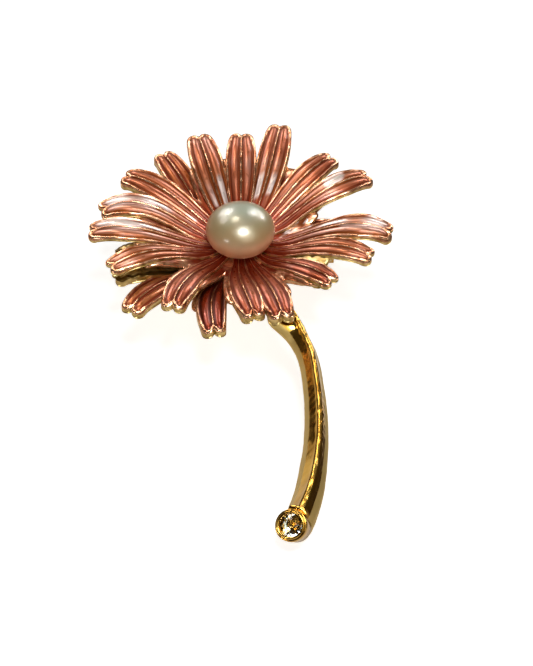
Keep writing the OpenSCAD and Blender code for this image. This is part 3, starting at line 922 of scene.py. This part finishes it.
def stem_bar(pile):
    """The bar: one section swept along the curve. Its facts are foil (none), side wall and ridge."""
    rows = curve(STEM, STEM_STEPS)
    middle = rows[:, None, :2]
    width, high, low, more_left, more_right = rows[:, 2:].T[..., None]
    section = rounded_outline(STEM_SECTION)
    sideways, upwards = section.T
    ahead = np.gradient(rows[:, :2], axis=0)
    ahead /= np.linalg.norm(ahead, axis=1, keepdims=True)
    side = np.stack([-ahead[:, 1], ahead[:, 0]], -1)
    solder = np.clip(-sideways, 0, None) * np.clip(more_left, 0, None)
    across = sideways * width / 2 - solder + np.clip(sideways, 0, None) * more_right
    xy = middle + side[:, None] * across[..., None]
    z = low + upwards * (high - low) + solder
    points = np.concatenate([xy, z[..., None]], -1).reshape(-1, 3)

    on_ridge = np.tile(smoothstep(RIDGE_FROM, 1, upwards), len(rows))
    dented = np.tile((sideways > DENTS_RIGHT_OF) & (upwards > WALL_TO), len(rows))
    dented = dented * smoothstep(*DENTS_BEGIN, points[:, 1]) * smoothstep(*DENTS_END, points[:, 1])
    ripple = ripples(points, RIPPLES) + ripples(points, RIDGE_RIPPLES) * on_ridge
    ripple += ripples(points, DENTS) * dented
    outward = np.concatenate([xy - middle, (z - (high + low) / 2)[..., None]], -1).reshape(-1, 3)
    outward /= np.linalg.norm(outward, axis=1, keepdims=True)

    ring, last_ring = len(section), (len(rows) - 1) * len(section)
    faces = grid_faces(len(rows), ring, wrap=True)
    faces += [tuple(range(ring))[::-1], tuple(range(last_ring, last_ring + ring))]
    wall_height = upwards - np.where(sideways > 0, HIGHER_ON_RIGHT, 0)
    wall = np.tile(smoothstep(SLOPE_FROM, WALL_TO, wall_height), len(rows))
    none = np.zeros_like(wall)
    facts = np.column_stack([none, wall, on_ridge, none])
    pile.add(points + outward * ripple[:, None] + UNDER_FLOWER, faces, facts)


# The cup in its end, leaning towards the viewer, with a rolled rim and a bore for the stone
CUP_AT = np.array([5.6, -40.6, 3]) + UNDER_FLOWER
CUP_LEAN, CUP_TURN = math.radians(38), math.radians(241)
CUP_R, CUP_BODY, BEZEL_RISE, CUP_DEPTH = 1.62, 2.45, 0.3, 0.75
BEZEL_OUTER = CUP_R - 0.06
SHOULDER_R, SHOULDER_Z, SHOULDER_LOW = 1.76, 0.1, -0.7
WAIST_Z = -1.5
FOOT_ROUND = 0.2
STONE_R = 1.24
BORE_R = STONE_R + SEAT_GAP
# Silver foil in the bore: a shallow cone under the stone
FOIL_EDGE = BEZEL_RISE - CUP_DEPTH
FOIL_LOW = FOIL_EDGE - 0.9
FOIL_WALL = 0.03
FOIL = (1, 0, 0, 0)
# A low collar across the end of the stem, round the upper side of the cup
COLLAR_R, COLLAR_Z, COLLAR_TUBE = 1.95, -0.45, 0.3
COLLAR_HALF_ANGLE = 34
COLLAR_STEPS, TUBE_STEPS = 40, 12
COLLAR_END = 0.12
COLLAR_TAPER = 0.4
COLLAR_RIPPLES = [(0.05, 3.5, 8)]

about_y = np.array([
    [math.cos(CUP_LEAN), 0, math.sin(CUP_LEAN)], [0, 1, 0], [-math.sin(CUP_LEAN), 0, math.cos(CUP_LEAN)],
])
about_z = np.array([
    [math.cos(CUP_TURN), -math.sin(CUP_TURN), 0], [math.sin(CUP_TURN), math.cos(CUP_TURN), 0], [0, 0, 1],
])
CUP_FACING = about_z @ about_y


def roll(inner, outer, top, steps=8):
    """Half a circle over a rolled rim."""
    middle, r = (inner + outer) / 2, (outer - inner) / 2
    return [(middle - r * math.cos(a), top - r + r * math.sin(a)) for a in np.linspace(0, math.pi, steps + 1)]


def cup(pile):
    """The foil, and the cup from under it over the bezel and a lower shoulder to the foot."""
    foil = [(0, FOIL_LOW), (BORE_R, FOIL_EDGE), (BORE_R, FOIL_EDGE - FOIL_WALL), (0, FOIL_LOW - FOIL_WALL)]
    revolve(pile, foil, CUP_AT, FOIL, segments=16, turn=CUP_FACING)
    profile = [(0, FOIL_LOW - 2 * FOIL_WALL), (BORE_R, FOIL_EDGE - 2 * FOIL_WALL)]
    profile += roll(BORE_R, BEZEL_OUTER, BEZEL_RISE) + roll(BEZEL_OUTER, SHOULDER_R, SHOULDER_Z)
    profile += [(SHOULDER_R, SHOULDER_LOW), (CUP_R, WAIST_Z), (CUP_R, -CUP_BODY + FOOT_ROUND)]
    profile += [(CUP_R - FOOT_ROUND, -CUP_BODY), (0, -CUP_BODY)]
    revolve(pile, profile, CUP_AT, segments=72, turn=CUP_FACING)


def collar(pile):
    along = np.radians(np.linspace(180 - COLLAR_HALF_ANGLE, 180 + COLLAR_HALF_ANGLE, COLLAR_STEPS))[:, None]
    round_tube = np.linspace(0, 2 * np.pi, TUBE_STEPS, endpoint=False)
    taper = np.sin(np.linspace(COLLAR_END, np.pi - COLLAR_END, COLLAR_STEPS)) ** COLLAR_TAPER
    tube = COLLAR_TUBE * taper[:, None]
    out = COLLAR_R + tube * np.cos(round_tube)
    points = np.stack([out * np.cos(along), out * np.sin(along), COLLAR_Z + tube * np.sin(round_tube)], -1)
    points = points.reshape(-1, 3)
    points += ripples(points, COLLAR_RIPPLES)[:, None]
    faces = grid_faces(COLLAR_STEPS, TUBE_STEPS, wrap=True, flip=True)
    faces += [tuple(range(TUBE_STEPS)), tuple(range(len(points) - TUBE_STEPS, len(points)))[::-1]]
    pile.add(points @ CUP_FACING.T + CUP_AT, faces)


stem_pile = Pile()
stem_bar(stem_pile)
cup(stem_pile)
collar(stem_pile)
stem = stem_pile.build("stem_bar", stem_material())
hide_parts("stem")

# The stone: a table, eight stars, eight kites, sixteen halves, a girdle and a shallow faceted back
FACETS = 8
TABLE_R, TABLE_Z = 0.66, 0.7
MIDDLE_R, MIDDLE_Z = 0.98, 0.5
GIRDLE_TOP, GIRDLE_LOW = 0.27, 0.16
CULET_Z = -0.78
STONE_FLOOR = BEZEL_RISE - CUP_DEPTH + SEAT_GAP


def stone_ring(count, radius, z, phase=0):
    angles = [2 * math.pi * j / count + phase for j in range(count)]
    return [(radius * math.cos(a), radius * math.sin(a), z) for a in angles]


def cut_stone():
    made = Pile()
    points = stone_ring(FACETS, TABLE_R, TABLE_Z) + stone_ring(FACETS, MIDDLE_R, MIDDLE_Z, math.pi / FACETS)
    points += stone_ring(2 * FACETS, STONE_R, GIRDLE_TOP) + stone_ring(2 * FACETS, STONE_R, GIRDLE_LOW)
    points.append((0, 0, CULET_Z))
    middle, girdle, low, culet = FACETS, 2 * FACETS, 4 * FACETS, 6 * FACETS
    faces = [tuple(range(FACETS))]
    for j in range(FACETS):
        left, right, beyond = girdle + 2 * j, girdle + 2 * j + 1, girdle + (2 * j + 2) % (2 * FACETS)
        faces.append((j, middle + j, (j + 1) % FACETS))
        faces.append((j, middle + (j - 1) % FACETS, left, middle + j))
        faces.append((middle + j, left, right))
        faces.append((middle + j, right, beyond))
    for j in range(2 * FACETS):
        n = (j + 1) % (2 * FACETS)
        faces.append((girdle + j, low + j, low + n, girdle + n))
        faces.append((low + j, culet, low + n))
    made.add((np.array(points) + [0, 0, STONE_FLOOR]) @ CUP_FACING.T + CUP_AT, faces)
    return made


stone = cut_stone().build("stone_cut", crystal_material(), smooth=False)
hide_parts("stone")

# The bar pin keeps its solid
pin_gold = gold("pin_gold", PIN_TONES, roughs=(0.22, 0.34), bump_scale=1400, bump_depth=0.00004)[0]
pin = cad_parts["pin_back"]
pin.data.materials.clear()
pin.data.materials.append(pin_gold)

# Floor and light

FLOOR_HALF = 0.9
floor_mesh = bpy.data.meshes.new("floor")
floor_corners = [(-1, -1), (1, -1), (1, 1), (-1, 1)]
floor_mesh.from_pydata([(x * FLOOR_HALF, y * FLOOR_HALF, 0) for x, y in floor_corners], [], [(0, 1, 2, 3)])
floor = new_object("floor", floor_mesh)
floor_material, floor_nodes, floor_shader = new_material("floor_paper")
floor_nodes.fill(floor_shader, Base_Color=srgb(232, 233, 236), Roughness=0.9, Specular_IOR_Level=0.1)
floor_nodes.fill(floor_shader, Emission_Color=(0.98, 0.99, 1, 1), Emission_Strength=0.8)
floor_mesh.materials.append(floor_material)
floor.visible_glossy = False

# Lamps: name, direction from the flower, distance, width, power in watts, colour
LAMPS = [
    ("key", (0.13, -0.22, 0.97), 0.45, 0.17, 0.64, (0.97, 0.98, 1)),
    ("lamp_top", (-0.16, 0.46, 0.87), 0.55, 0.13, 0.75, (1, 0.9, 0.72)),
    ("lamp_right", (0.31, 0.74, 0.59), 0.55, 0.11, 0.35, (1, 0.94, 0.95)),
    ("lamp_left", (-0.32, 0.77, 0.56), 0.55, 0.09, 0.3, (1, 0.93, 0.93)),
    ("lamp_side", (0.6, 0.69, 0.4), 0.6, 0.08, 0.4, (1, 0.93, 0.94)),
    ("lamp_front", (-0.66, -0.62, 0.42), 0.6, 0.08, 0.32, (0.88, 0.94, 1)),
    ("fill", (0, -0.85, 0.5), 0.6, 0.5, 0.62, (1, 0.95, 0.86)),
    ("panel_core", (0.13, -0.24, 0.96), 0.44, 0.2, 1.7, (0.82, 0.94, 1)),
    ("panel_glow", (0.34, -0.5, 0.8), 0.43, 0.34, 0.62, (0.9, 1, 0.92)),
    ("panel_left", (-0.38, 0.8, 0.46), 0.6, 0.28, 0.98, (1, 0.98, 1)),
    ("panel_high", (-0.52, 0.5, 0.69), 0.6, 0.2, 0.45, (1, 0.96, 1)),
    ("panel_right", (0.45, 0.8, 0.4), 0.6, 0.28, 0.98, (1, 0.98, 1)),
]
# The small lamps and the panels show in what is polished and leave the matt colours alone
POLISH_ONLY = ("lamp_", "panel_")
for name, direction, distance, width, power, colour in LAMPS:
    data = bpy.data.lights.new(name, "AREA")
    data.shape = "DISK"
    data.size = width
    data.energy = power
    data.color = colour
    lamp = new_object(name, data)
    away = Vector(direction).normalized()
    lamp.location = Vector(FLOWER * MM) + away * distance
    lamp.rotation_euler = away.to_track_quat("Z", "Y").to_euler()
    # The broad fill lights the enamel without showing in the metal
    lamp.visible_glossy = name != "fill"
    lamp.visible_diffuse = not name.startswith(POLISH_ONLY)

# The room by height: a pale table below, dim walls and ceiling
ROOM = [
    (0, (0.66, 0.62, 0.55, 1)),
    (0.3, (0.8, 0.76, 0.66, 1)),
    (0.43, (0.72, 0.68, 0.56, 1)),
    (0.465, (0.06, 0.045, 0.025, 1)),
    (0.6, (0.05, 0.04, 0.022, 1)),
    (1, (0.06, 0.05, 0.03, 1)),
]
# The table reaches a little higher on the left than on the right
TABLE_TILT = 0.18
# A wide window behind the brooch: where its lower, upper, side and near edges soften, as parts of a direction
WINDOW = (0.62, 0.72, 0.66, 1)
WINDOW_LOW, WINDOW_HIGH, WINDOW_SIDES, WINDOW_NEAR = (-0.06, 0.1), (0.72, 0.56), (0.5, 0.36), (0, 0.2)
# Dark and bright places in the room: direction, cosines at their outer and inner edge, colour
PATCHES = [
    ((0.83, 0.52, -0.2), 0.86, 0.92, (0.06, 0.045, 0.024, 1)),
    ((0.62, 0.67, -0.4), 0.9975, 0.9993, (4, 3.9, 3.4, 1)),
]

world = bpy.data.worlds.new("world")
world.use_nodes = True
bpy.context.scene.world = world
sky = Nodes(world.node_tree)
toward = sky.add("ShaderNodeTexCoord").outputs["Generated"]
toward_x, toward_y, toward_z = sky.add("ShaderNodeSeparateXYZ", Vector=toward).outputs
tilted = sky.plus(toward_z, sky.times(toward_x, TABLE_TILT))
room = sky.ramp(sky.plus(sky.times(tilted, 0.5), 0.5), *zip(*ROOM))
window = sky.times(sky.ease(toward_z, *WINDOW_LOW), sky.ease(toward_z, *WINDOW_HIGH))
window = sky.times(window, sky.ease(sky.sums("ABSOLUTE", toward_x), *WINDOW_SIDES))
window = sky.times(window, sky.ease(toward_y, *WINDOW_NEAR))
light = sky.blend(window, room, WINDOW)
for direction, outer, inner, colour in PATCHES:
    facing = sky.add("ShaderNodeVectorMath", {"operation": "DOT_PRODUCT"})
    sky.put(toward, facing.inputs[0])
    facing.inputs[1].default_value = Vector(direction).normalized()
    light = sky.blend(sky.ease(facing.outputs["Value"], outer, inner), light, colour)
sky.fill(world.node_tree.nodes["Background"], Color=light, Strength=1)

bpy.context.scene.view_settings.view_transform = "Standard"
